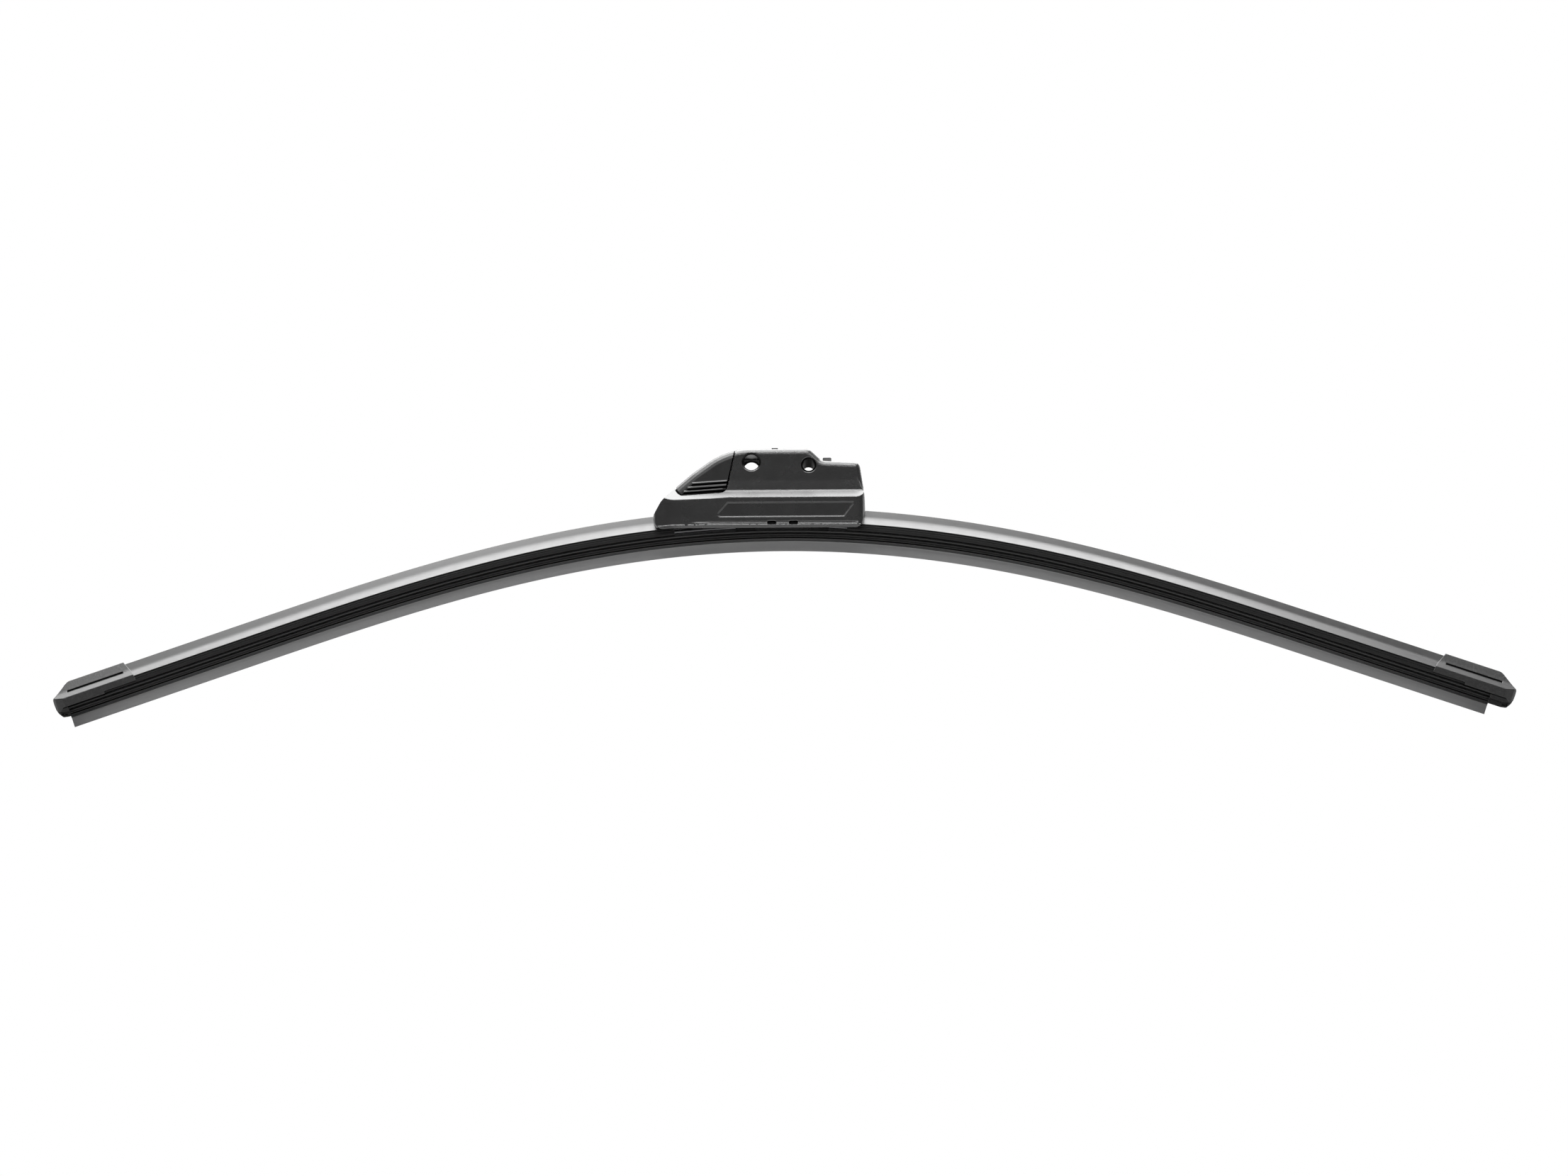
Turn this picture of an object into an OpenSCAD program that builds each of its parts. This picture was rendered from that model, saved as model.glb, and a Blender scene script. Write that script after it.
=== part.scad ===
// Flat wiper blade with its arm connector, standing lip down.
// Lengths along the blade are measured from its middle, and heights from the lip's edge there.
// Everything is then moved so that the centre of the pivot tube is the origin.

/* [Blade] */
// Length over both end caps, measured along the curve
blade_len = 598; // [560:1:700]
// Slope of the free blade at its tips, in degrees
tip_slope = 18.9; // [12:0.1:22]
// Half length that curves; beyond it the blade is straight
bend_len = 219; // [180:1:230]
// Distance between the sections of a curved extrusion
station_gap = 18; // [12:1:30]

/* [Wiper rubber] */
// Height of the thin wiping lip
lip_h = 3.9; // [3:0.1:4.1]
// Thickness of the lip
lip_t = 0.7; // [0.5:0.05:0.9]
// Width of the heel above the lip
heel_w = 4.9; // [4:0.1:5.4]
// Width of the stop flange above the heel
stop_w = 5.6; // [5:0.1:6.2]
// Thickness of the hinge web
web_t = 1.1; // [0.8:0.05:1.4]
// Width of the body's lower flange
flange_w = 8.2; // [7:0.1:8.8]
// Width of the cheeks under the rails
cheek_w = 6.8; // [6:0.1:7.2]
// Width of the neck between the rails
neck_w = 2.4; // [2:0.1:2.6]
// Width of the head above the rails
head_w = 5.2; // [4.4:0.1:5.6]
// Height of the head above the rails
head_h = 1.3; // [1:0.1:1.4]
// Distance from the left tip of the blade to the end of the rubber
rubber_left_gap = 4.8; // [4.8:0.1:8]
// Distance from the right tip of the blade to the end of the rubber
rubber_right_gap = 9.3; // [4.8:0.1:10]

/* [Rails] */
// Width of one spring-steel strip
rail_w = 3.7; // [3.4:0.1:3.8]
// Thickness of the strip
rail_t = 0.9; // [0.8:0.05:1]
// Height of the strip's underside above the lip's edge
rail_z = 8.9; // [8.8:0.05:9.1]

/* [Spoiler] */
// Width over the claws that grip the rails
spoiler_w = 12; // [11.6:0.1:12.6]
// Height of the fin's top above the lip's edge
fin_top = 17.65; // [16:0.05:19]
// Thickness of the fin near its top
fin_t = 1; // [0.8:0.1:1.6]
// Sideways offset of the fin towards the back
fin_shift = 0.7; // [0:0.1:1.2]
// Where the left spoiler ends under the housing
spoiler_left_end = 43; // [40:1:44]
// Where the right spoiler ends under the housing
spoiler_right_end = 25; // [22:1:27]

/* [End caps] */
// Length of a cap
cap_len = 34.2; // [28:0.2:38]
// Wall of a cap outside the fin
cap_wall = 0.95; // [0.8:0.05:1.2]
// Height of the closed tip's underside above the lip's edge
cap_floor_z = 5.7; // [5:0.1:6]
// Length of the marking slot in the flank
cap_slot_len = 23.5; // [10:0.5:24]

/* [Housing] */
// Width over the skirt
skirt_w = 24; // [23:0.5:26]
// Height of the skirt's lower edge above the lip's edge
skirt_z = 7.5; // [7:0.1:8]
// Height of the skirt's upper edge
shelf_z = 19.9; // [19:0.1:20.5]
// Wall of the skirt
skirt_wall = 1.8; // [1.4:0.1:2.2]
// Width over the two upper walls
wall_w = 17.6; // [17:0.1:18.4]
// Thickness of an upper wall
wall_t = 1.5; // [1.2:0.1:1.6]
// Height of the top edge
top_z = 40.85; // [40:0.05:42]
// Height of the lower step of the top edge behind the pivot
step_z = 35.7; // [34:0.1:36.5]
// Radius of the rounding along the top edges
edge_r = 2.8; // [1.6:0.1:3]
// Radius of the rounding along the nose cap's top edges
nose_r = 3.4; // [2.4:0.1:3.6]
// Clearance along the seam of the nose cap
seam_gap = 0.35; // [0.25:0.05:0.5]

/* [Arm connections] */
// Place of the quarter-inch side pin hole along the blade
pin_x = -12.8; // [-13.2:0.1:-12.2]
// Height of the side pin hole
pin_z = 34.9; // [34:0.1:35.2]
// Diameter of the side pin hole
pin_d = 6.4; // [6:0.05:6.6]
// Diameter of the countersunk ring round it
pin_ring_d = 7.55; // [7:0.05:7.8]
// Place of the pivot tube along the blade
pivot_x = 10.25; // [9.6:0.05:10.8]
// Height of the pivot tube
pivot_z = 33.6; // [33:0.1:34]
// Outer diameter of the pivot tube
tube_d = 6; // [5.6:0.1:6.2]
// Bore of the pivot tube, for the small side pin
tube_bore = 4.9; // [4.6:0.05:5]
// Width of the slot that takes the arm's hook
hook_w = 9.4; // [9:0.1:9.6]
// Diameter of the barrel that the hook wraps round
barrel_d = 8.6; // [8.2:0.1:9]

/* [Hidden] */
$fn = 48;
fit = 0.05;          // clearance between pieces that slide together
slack = 0.15;        // clearance inside the end caps
run_gap = 0.06;      // radial clearance of a running bore
side_gap = 0.15;     // clearance beside a moving piece
half_len = blade_len / 2;
rail_top = rail_z + rail_t;
head_top = rail_top + fit + head_h;
rail_in = neck_w / 2 + fit;
rail_out = rail_in + rail_w;
wall_y = wall_w / 2;
skirt_y = skirt_w / 2;
ear_t = 1.2;
ear_y = wall_y - wall_t - 0.25;
ear_r = 4.2;
cheek_t = 1;
nub_h = 0.55;        // of the adapter's front nub above the walls
shell_x0 = -52.6;
shell_x1 = 32.9;
hinge_x = -39.2;     // axis of the nose cap's trunnions
hinge_z = 25.2;
hinge_d = 2;
hinge_reach = 3.8;   // what of the cap's front edge turns clear of the housing
lug_r = 1.7;
tongue_reach = 4.7;   // of the cap's tongue, from the hinge
shelf_turn_x = -22;  // the shelf drops towards the nose in front of here
roof_t = 1.3;
roof_end = -9.4;     // clear of the rocking adapter
shelf_drop = 3.6;    // and by this angle
window_x = [-4.75, 4];    // of the snap windows along the skirt

// Slope and place of the blade's curve at a length from its middle
function tilt(s) = tip_slope * sin(90 * min(abs(s) / bend_len, 1)) * sign(s);
function path_at(s, parts = 24) =
    let (slopes = [for (i = [0 : parts - 1]) tilt(s * (i + 0.5) / parts)],
         ones = [for (a = slopes) 1])
    s / parts * [ones * [for (a = slopes) cos(a)], -(ones * [for (a = slopes) sin(a)])];
function stations(from_s, to_s) =
    let (n = floor(half_len / station_gap))
    concat([from_s],
        [for (i = [-n : n]) let (s = i * station_gap)
            if (s > from_s + 1 && s < to_s - 1 && abs(s) < bend_len) s],
        [to_s]);

function unit(v) = v / norm(v);
function flat(p) = [p[0], p[1]];
// Outline whose corners [x, y, radius] are rounded by arcs
function rounded(corners, steps = 4) =
    let (n = len(corners))
    [for (i = [0 : n - 1])
        let (p = flat(corners[i]), r = corners[i][2],
             u = unit(flat(corners[(i + n - 1) % n]) - p), v = unit(flat(corners[(i + 1) % n]) - p),
             half = acos(u * v) / 2, mid = unit(u + v), side = unit(v - u),
             sweep = 90 - half, centre = p + mid * r / sin(half))
        each r == 0 ? [p] : [for (k = [0 : steps]) let (a = sweep * (2 * k / steps - 1))
            centre - r * cos(a) * mid + r * sin(a) * side]];
// The same anticlockwise outline moved inwards by a distance, or outwards if it is negative
function inset(points, by) =
    let (n = len(points))
    [for (i = [0 : n - 1])
        let (p = points[i], e = unit(p - points[(i + n - 1) % n]), f = unit(points[(i + 1) % n] - p),
             a = [-e.y, e.x], b = [-f.y, f.x])
        p + by * (a + b) / (1 + a * b)];
function mirrored(half_outline) =
    concat(half_outline, [for (i = [len(half_outline) - 1 : -1 : 0]) let (p = half_outline[i])
        len(p) == 3 ? [-p[0], p[1], p[2]] : [-p[0], p[1]]]);

// Solid through a row of rings that have the same number of points
module lofted(rings) {
    n = len(rings[0]);
    m = len(rings);
    polyhedron([for (ring = rings) each ring],
        concat([[for (j = [0 : n - 1]) j]],
            [for (i = [0 : m - 2], j = [0 : n - 1])
                [i * n + j, (i + 1) * n + j, (i + 1) * n + (j + 1) % n, i * n + (j + 1) % n]],
            [[for (j = [n - 1 : -1 : 0]) (m - 1) * n + j]]),
        convexity = 10);
}

// Section [across, height] drawn along the blade's curve
module swept(section, from_s, to_s) {
    lofted([for (s = stations(from_s, to_s)) let (a = tilt(s), p = path_at(s))
        [for (q = section) [p.x + q.y * sin(a), q.x, p.y + q.y * cos(a)]]]);
}

// Slab of a side outline, whose edges are rounded on both sides
module pillow(outline, half_w, r, steps = 4) {
    turns = [for (k = [steps : -1 : 0]) 90 * k / steps];
    layers = concat([for (a = turns) [half_w - r * (1 - sin(a)), r * (1 - cos(a))]],
        [for (i = [len(turns) - 1 : -1 : 0]) let (a = turns[i])
            [-half_w + r * (1 - sin(a)), r * (1 - cos(a))]]);
    lofted([for (l = layers) [for (p = inset(outline, l[1])) [p.x, l[0], p.y]]]);
}

module on_beam(s) {
    p = path_at(s);
    translate([p.x, 0, p.y]) rotate([0, tilt(s), 0]) children();
}
// Side view outline [x, z] as a slab, and section [y, z] as a bar along X
module slab(points, from_y, to_y) {
    translate([0, to_y, 0]) rotate([90, 0, 0]) linear_extrude(to_y - from_y) polygon(points);
}
module bar(points, from_x, to_x) {
    translate([from_x, 0, 0]) rotate([90, 0, 90]) linear_extrude(to_x - from_x) polygon(points);
}
module cross_pin(d, x, z, from_y, to_y) {
    translate([x, to_y, z]) rotate([90, 0, 0]) cylinder(d = d, h = to_y - from_y);
}
module both_sides() {
    children();
    mirror([0, 1, 0]) children();
}
module in_place() {
    translate([-pivot_x, 0, -pivot_z]) children();
}

// Sections of the blade, as [across, height]
function rubber_section() = mirrored([
    [lip_t / 2 - 0.05, 0], [lip_t / 2, lip_h],
    [heel_w / 2 - 0.15, lip_h + 0.7], [heel_w / 2, lip_h + 0.85], [heel_w / 2 - 0.2, lip_h + 1.1],
    [web_t / 2, lip_h + 1.2], [web_t / 2, lip_h + 1.35],
    [stop_w / 2, lip_h + 1.45], [stop_w / 2, lip_h + 1.8], [web_t / 2 + 0.4, lip_h + 2.1],
    [web_t / 2 + 0.4, lip_h + 3.05],
    [flange_w / 2 - 0.1, rail_z - 1.75], [flange_w / 2, rail_z - 1.6], [flange_w / 2, rail_z - 1.05],
    [cheek_w / 2, rail_z - 0.9], [cheek_w / 2, rail_z - fit],
    [neck_w / 2, rail_z - fit], [neck_w / 2, rail_top + fit],
    [head_w / 2, rail_top + fit], [head_w / 2 - 0.3, head_top], [0.3, head_top]]);
function spoiler_flank(side, shift) = [
    [side * spoiler_w / 2, rail_z - 0.8, 0.3], [side * spoiler_w / 2, rail_z + 0.4, 0],
    [side * (spoiler_w / 2 - 0.25), rail_z + 0.55, 0], [side * spoiler_w / 2, rail_z + 0.75, 0],
    [side * spoiler_w / 2, rail_z + 1.15, 0], [side * (spoiler_w / 2 - 0.4), rail_z + 1.4, 0],
    [side * (spoiler_w / 2 - 0.4), rail_z + 1.6, 0], [side * (spoiler_w / 2 + 0.05), rail_z + 1.9, 0],
    [side * (spoiler_w / 2 - 0.7), rail_z + 2.45, 0.8],
    [shift + side * (fin_t / 2 + 2), rail_z + 4.1, 3.2],
    [shift + side * fin_t / 2, fin_top, 0.3]];
function reversed(list) = [for (i = [len(list) - 1 : -1 : 0]) list[i]];
function spoiler_outside() =
    rounded(concat(spoiler_flank(1, fin_shift), reversed(spoiler_flank(-1, fin_shift))), 2);
function spoiler_section() =
    let (lip_y = cheek_w / 2 + 0.5, slot_y = rail_out + fit, room_y = head_w / 2 + slack)
    concat(spoiler_outside(),
        [[-lip_y, rail_z - 0.7], [-lip_y, rail_z - fit], [-slot_y, rail_z - fit],
         [-slot_y, rail_top + fit], [-room_y, rail_top + fit], [-room_y, head_top + slack],
         [room_y, head_top + slack], [room_y, rail_top + fit], [slot_y, rail_top + fit],
         [slot_y, rail_z - fit], [lip_y, rail_z - fit], [lip_y, rail_z - 0.7]]);
function rail_section() = [[rail_in, rail_z], [rail_out - 0.15, rail_z], [rail_out, rail_z + 0.2],
    [rail_out, rail_top - 0.2], [rail_out - 0.15, rail_top], [rail_in, rail_top]];

module wiper_rubber() {
    color([0.16, 0.16, 0.16]) in_place()
        swept(rubber_section(), -half_len + rubber_left_gap, half_len - rubber_right_gap);
}

module rail() {
    in_place() swept(rail_section(), -half_len + rubber_left_gap, half_len - rubber_right_gap);
}
module rail_front() {
    color([0.3, 0.3, 0.31]) mirror([0, 1, 0]) rail();
}
module rail_back() {
    color([0.3, 0.3, 0.31]) rail();
}

// The spoilers run to within 5 mm of the tips inside the caps
module spoiler_left() {
    color([0.42, 0.42, 0.42]) in_place()
        swept(spoiler_section(), -half_len + rubber_left_gap + 1, -spoiler_left_end);
}
module spoiler_right() {
    color([0.42, 0.42, 0.42]) in_place()
        swept(spoiler_section(), spoiler_right_end, half_len - rubber_right_gap - 1);
}

// End cap with its tip at x = 0 and its mouth towards +X
module end_cap(room_from) {
    top = fin_top + cap_wall - 0.1;
    cap_y = spoiler_w / 2 + cap_wall;
    hem_z = rail_z - 0.3;
    side_view = rounded([[cap_len, hem_z, 0], [cap_len - 0.7, 13, 6], [cap_len - 3.3, top + 1, 0],
        [14, top + 0.7, 0], [7.6, top - 0.1, 5], [0.1, 12.5, 1], [0, 10.6, 1],
        [0.15, 8.1, 1], [1.5, cap_floor_z + 0.5, 1], [3.8, cap_floor_z, 0.5],
        [room_from + 0.4, cap_floor_z, 0], [room_from + 0.4, hem_z - 1, 0], [20.7, hem_z - 1, 0],
        [20.7, hem_z, 0]]);
    plan = rounded([[-0.5, -3.2, 1], [1, -5.4, 1], [4.8, -cap_y - 0.3, 1], [cap_len + 1, -cap_y - 0.3, 0],
        [cap_len + 1, cap_y + 0.3, 0], [4.8, cap_y + 0.3, 1], [1, 5.4, 1], [-0.5, 3.2, 1]]);
    side = function (k) [[k * cap_y, hem_z - 1, 0], [k * cap_y, rail_z + 2.35, 0.4],
        [fin_shift + k * (fin_t / 2 + 3.1), rail_z + 5.3, 7], [fin_shift + k * (fin_t / 2 + cap_wall), top, 0.5]];
    outside = rounded(concat(side(1), reversed(side(-1))), 3);
    room = inset(spoiler_cover(), -slack);
    difference() {
        intersection() {
            union() {
                bar(outside, 0, cap_len);
                bar([[-5, cap_floor_z], [5, cap_floor_z], [cap_y, hem_z], [-cap_y, hem_z]], 0, cap_len);
            }
            slab(side_view, -cap_y - 1, cap_y + 1);
            translate([0, 0, -1]) linear_extrude(top + 3) polygon(plan);
        }
        bar(room, room_from, cap_len + 1);
        translate([room_from, -flange_w / 2 - 0.4, 0])
            cube([cap_len, flange_w + 0.8, rail_z + 1]);
        translate([1.6, -3.6, cap_floor_z - 1]) cube([2.2, 7.2, 2.6]);
        for (k = [1, -1]) mirror([0, k < 0 ? 1 : 0, 0])
            translate([6.5, -3.05 - k * fin_shift / 2 , 14.2]) rotate([47, 0, 0])
                translate([0, -0.7, -1]) cube([cap_slot_len, 1.4, 1.4]);
    }
}
// Outline of the fin and claws without the small grooves
function spoiler_cover() =
    let (side = function (k) [[k * spoiler_w / 2, rail_z - 0.8, 0],
            [k * spoiler_w / 2, rail_z + 1.9, 0.4], [k * (spoiler_w / 2 - 0.7), rail_z + 2.5, 0.8],
            [fin_shift + k * (fin_t / 2 + 2), rail_z + 4.15, 3.2], [fin_shift + k * fin_t / 2, fin_top, 0.3]])
    rounded(concat(side(1), reversed(side(-1))), 3);

module cap_on_tip(sign_x, room_from) {
    on_beam(sign_x * half_len) mirror([sign_x > 0 ? 1 : 0, 0, 0]) end_cap(room_from);
}
module end_cap_left() {
    color([0.2, 0.2, 0.2]) in_place() cap_on_tip(-1, rubber_left_gap - slack);
}
module end_cap_right() {
    color([0.2, 0.2, 0.2]) in_place() cap_on_tip(1, rubber_right_gap - slack);
}

// Side view of the walls and of the nose, and of the seam round the nose cap
function wall_outline() = rounded([[-41, 20.5, 0], [shell_x1 + 0.1, 18, 0],
    [shell_x1 - 0.3, 24.5, 8], [shell_x1 - 1.9, step_z - 0.5, 3.2],
    [15.7, step_z + 0.2, 3], [10.4, top_z, 3], [-16, top_z, 26], [-25, top_z - 1.75, 28],
    [-36.5, 31, 28], [-43.9, 24.7, 0]], 4);
function nose_outline() = rounded([[-53, 16.95, 0], [-10, 16.95, 0], [-10, top_z, 0],
    [-16, top_z, 26], [-25, top_z - 1.75, 28], [-36.5, 31, 28]], 4);
function seam_outline(by) = inset(rounded([[-22.9, 22.4, 3.2], [-19, top_z - 1, 0], [-18.6, 60, 0],
    [-70, 60, 0], [-44.8, 25.2, 0], [-41.9, 20.95, 0.5]], 4), by);
module skirt_body() {
    side_view = rounded([[-50.8, skirt_z, 3.4], [31.2, skirt_z, 3], [shell_x1, 15, 6],
        [32.5, 21.5, 2], [29.9, 28, 0], [-40.4, 28, 0], [-49.3, 18.7, 6], [shell_x0, 13, 3]], 5);
    plan = rounded([[shell_x0, 3.6 - skirt_y, 3], [-45, 0.5 - skirt_y, 10], [-30, -skirt_y, 0],
        [shell_x1, -skirt_y, 3.5], [shell_x1, skirt_y, 3.5], [-30, skirt_y, 0],
        [-45, skirt_y - 0.5, 10], [shell_x0, skirt_y - 3.6, 3]], 4);
    shelf = rounded(mirrored([[skirt_y, -20, 0], [skirt_y, 0, 0.4],
        [wall_y + 0.3, 3.1, 6], [wall_y - 0.1, 9, 0]]), 6);
    hem = mirrored([[skirt_y - 0.7, skirt_z], [skirt_y + 0.1, skirt_z + 1], [skirt_y + 0.1, 30]]);
    intersection() {
        slab(side_view, -skirt_y - 1, skirt_y + 1);
        linear_extrude(30) polygon(plan);
        bar(hem, shell_x0 - 1, shell_x1 + 1);
        translate([shelf_turn_x, 0, shelf_z]) union() {
            bar(shelf, 0, shell_x1 - shelf_turn_x + 1);
            rotate([0, -shelf_drop, 0]) bar(shelf, shell_x0 - shelf_turn_x - 1, 0.6);
        }
    }
}
module housing() {
    inner_y = wall_y - wall_t;
    color([0.17, 0.17, 0.17]) in_place() {
        difference() {
            union() {
                skirt_body();
                pillow(wall_outline(), wall_y, edge_r);
            }
            // Room for the nose cap, the arm and the bracket
            difference() {
                slab(seam_outline(0), -skirt_y - 1, skirt_y + 1);
                ahead_of_hinge(2 * seam_gap, skirt_y + 1);
            }
            translate([-17, -inner_y, 16]) cube([60, 2 * inner_y, 40]);
            translate([0, 0, -1]) linear_extrude(18.5) polygon([[-47, -4.6], [-38, skirt_wall - skirt_y],
                [30.6, skirt_wall - skirt_y], [30.6, skirt_y - skirt_wall], [-38, skirt_y - skirt_wall],
                [-47, 4.6]]);
            // Arches over the ends of the spoilers
            on_beam(-48) bar(inset(spoiler_cover(), -0.4), -8, 8);
            on_beam(-48) translate([-8, -6, 0]) cube([16, 12, 10]);
            on_beam(30) bar(inset(spoiler_cover(), -0.4), -5, 8);
            on_beam(30) translate([-5, -6, 0]) cube([13, 12, 10]);
            // Side pin hole with its ring, and the pivot tube's hole
            cross_pin(pin_d, pin_x, pin_z, -20, 20);
            both_sides() translate([pin_x, -wall_y + 0.6, pin_z]) rotate([90, 0, 0])
                cylinder(d1 = pin_d, d2 = pin_ring_d + 0.1, h = 0.65);
            cross_pin(tube_d + 2 * fit, pivot_x, pivot_z, -20, 20);
            // Thinner wall in front of the side pin's centre
            translate([-17, -inner_y - 0.6, 22]) cube([3.6, 2 * inner_y + 1.2, 15]);
            both_sides() skirt_cuts();
            // Groove in which the cap's tongue turns
            cross_pin(2 * (tongue_reach + 0.3), hinge_x, hinge_z, -3.1, 3.1);
        }
        hinge_lugs();
        // Roof between the walls in front of the adapter
        translate([-17.1, -inner_y - 0.1, top_z - 0.5 - roof_t])
            cube([roof_end + 17.1, 2 * inner_y + 0.2, roof_t]);
    }
}
// What lies ahead of the arc about the hinge that the cap's front edge follows
module ahead_of_hinge(gap, half_w) {
    difference() {
        slab([[-50, 15], [hinge_x, 15], [hinge_x, hinge_z], [-50, hinge_z + 2.35]], -half_w, half_w);
        cross_pin(2 * (hinge_reach + gap), hinge_x, hinge_z, -half_w - 1, half_w + 1);
    }
}
// Long recess, parting groove and snap windows of one side of the skirt
module skirt_cuts() {
    slab(rounded([[-25.6, 11.9, 0.8], [24.2, 11.9, 0.6], [28.5, 17.7, 0.4], [-22.4, 17.7, 0.6],
        [-26.6, 12.9, 0.5]], 3), -skirt_y - 1, -skirt_y + 0.45);
    translate([-46, -skirt_y - 1, skirt_z + 1.95]) cube([76, 1.3, 0.4]);
    for (x = window_x)
        translate([x - 1.6, -skirt_y - 1, skirt_z + 1.2]) cube([3.2, skirt_wall + 2, 1.4]);
}
// Two lugs that carry the nose cap's trunnions
module hinge_lugs() {
    both_sides() difference() {
        slab(rounded([[hinge_x + 0.35, 20.5, 0], [hinge_x + 4.2, 20.5, 0],
            [hinge_x + lug_r, hinge_z + lug_r, lug_r - 0.05], [hinge_x - lug_r, hinge_z + lug_r, lug_r - 0.05],
            [hinge_x - lug_r, hinge_z - lug_r, lug_r - 0.05], [hinge_x + 0.35, hinge_z - lug_r, 0]]), -6, -4.4);
        cross_pin(hinge_d + 2 * run_gap, hinge_x, hinge_z, -7, -3);
    }
}

module nose_cap() {
    wall = 1.5;
    inner_y = wall_y - wall;
    color([0.13, 0.13, 0.13]) in_place() {
        difference() {
            intersection() {
                pillow(nose_outline(), wall_y, nose_r);
                slab(seam_outline(seam_gap), -wall_y - 1, wall_y + 1);
            }
            intersection() {
                slab(inset(nose_outline(), wall + 0.3), -inner_y, inner_y);
                slab(concat([[-41, 15], [-24, 15]], [[-22.6, 26], [-21.2, 50], [-60, 50], [-60, 20]]),
                    -inner_y, inner_y);
            }
            slab([[-46, 15], [-25, 15], [-24.2, 24.6], [-46, 24.6]], -inner_y, inner_y);
            cross_pin(2 * (lug_r + side_gap), hinge_x, hinge_z, -inner_y, inner_y);
            ahead_of_hinge(0, wall_y + 1);
        }
        // Tongue that closes the seam ahead of the hinge
        difference() {
            intersection() {
                cross_pin(2 * tongue_reach, hinge_x, hinge_z, -2.9, 2.9);
                slab([[hinge_x, hinge_z], [hinge_x - 2, hinge_z + 4], [hinge_x - 8, hinge_z + 4],
                    [hinge_x - 8, hinge_z - 5]], -3, 3);
                slab(inset(nose_outline(), 0.1), -3, 3);
            }
            cross_pin(2 * (lug_r + side_gap), hinge_x, hinge_z, -4, 4);
        }
        both_sides() {
            for (rib = [[-36.3, 26.15, -22.6, 27], [-38.1, 24.35, -23, 25.4], [-39.7, 22.75, -24.2, 23.8]])
                grip_rib([rib[0], rib[1]], [rib[2], rib[3]]);
            cross_pin(hinge_d, hinge_x, hinge_z, -inner_y - 0.5, -4.4);
        }
    }
}
module grip_rib(from_p, to_p) {
    run = to_p - from_p;
    translate([from_p.x, -wall_y + 0.1, from_p.y]) rotate([0, -atan2(run.y, run.x), 0]) {
        rotate([0, 90, 0]) cylinder(d = 0.9, h = norm(run));
        sphere(d = 0.9, $fn = 12);
    }
}

// Bracket on the rails: two pairs of claws, a deck, the barbs and the two ears for the pivot tube
module base_bracket() {
    deck_z = head_top + 0.15;
    claw_y = spoiler_w / 2;
    color([0.24, 0.24, 0.25]) in_place() difference() {
        union() {
            translate([-24, -claw_y, deck_z]) cube([45, 2 * claw_y, 1.4]);
            for (s = [-15, 14]) on_beam(s) both_sides() bar([[claw_y, rail_z - 0.8], [claw_y, deck_z + 1],
                [head_w / 2 + 0.3, deck_z + 1], [head_w / 2 + 0.3, rail_top + fit],
                [rail_out + fit, rail_top + fit], [rail_out + fit, rail_z - fit],
                [cheek_w / 2 + 0.5, rail_z - fit], [cheek_w / 2 + 0.5, rail_z - 0.8]], -4, 4);
            both_sides() {
                slab(rounded([[0, deck_z, 0], [20, deck_z, 0], [pivot_x + ear_r, pivot_z + ear_r, ear_r - 0.1],
                    [pivot_x - ear_r, pivot_z + ear_r, ear_r - 0.1]]), -ear_y, -ear_y + ear_t);
                for (x = window_x) snap_arm(x, deck_z);
            }
        }
        cross_pin(tube_d, pivot_x, pivot_z, -20, 20);
    }
}
module snap_arm(x, deck_z) {
    reach = skirt_y - skirt_wall - side_gap;
    translate([x - 1.3, -reach, deck_z]) cube([2.6, reach - spoiler_w / 2 + 0.5, 1.4]);
    bar([[-reach, skirt_z + 1.4], [-reach + 1, skirt_z + 1.4], [-reach + 1, deck_z + 1],
        [-reach, deck_z + 1], [-reach, skirt_z + 2.4], [-reach - 0.9, skirt_z + 2.2],
        [-reach - 0.9, skirt_z + 1.6]], x - 1.3, x + 1.3);
}

// Adapter for a hooked arm: two cheeks, the barrel, the seat behind it, a snap tongue and two nubs
module hook_adapter() {
    half_w = hook_w / 2;
    cheek = rounded([[-8, 26, 1], [14, 26, 3], [21, 30, 2], [20.6, step_z - 0.6, 1],
        [19.4, step_z - 0.5, 0], [19.4, step_z + 1.4, 0.5], [15.9, step_z + 1.4, 0.5], [15.9, step_z - 0.5, 0],
        [14.6, step_z - 0.1, 1], [9.2, top_z - 0.6, 2], [-8, top_z - 0.6, 2]], 3);
    color([0.1, 0.1, 0.1]) in_place() difference() {
        union() {
            both_sides() slab(cheek, -half_w - cheek_t, -half_w);
            cross_pin(barrel_d, pivot_x, pivot_z, -half_w - 0.1, half_w + 0.1);
            // Round seat that the hook bears against
            intersection() {
                difference() {
                    cross_pin(19.8, pivot_x, pivot_z, -half_w - 0.1, half_w + 0.1);
                    cross_pin(17, pivot_x, pivot_z, -half_w - 1, half_w + 1);
                }
                slab([[-8, 26.5], [8, 26.5], [5, 33], [8, top_z - 0.8], [-8, top_z - 0.8]], -half_w - 1, half_w + 1);
            }
            translate([-8, -half_w - 0.1, 27.2]) cube([1.4, hook_w + 0.2, 11.5]);
            translate([-7, -half_w - 0.1, 32.8]) cube([8, hook_w + 0.2, 1.4]);
            translate([-4.6, -half_w - 0.1, top_z - 3]) cube([2.5, hook_w + 0.2, 3 + nub_h]);
            // Tongue that snaps under the hook
            slab(rounded([[-7.5, 26.2, 0], [17, 26.2, 0.5], [17, 27.4, 0.4], [6.5, 27.4, 0],
                [5.5, 28.6, 0.3], [4.5, 27.4, 0], [-7.5, 27.4, 0]]), -half_w + 0.6, half_w - 0.6);
        }
        cross_pin(tube_d + 2 * run_gap, pivot_x, pivot_z, -20, 20);
    }
}

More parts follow.
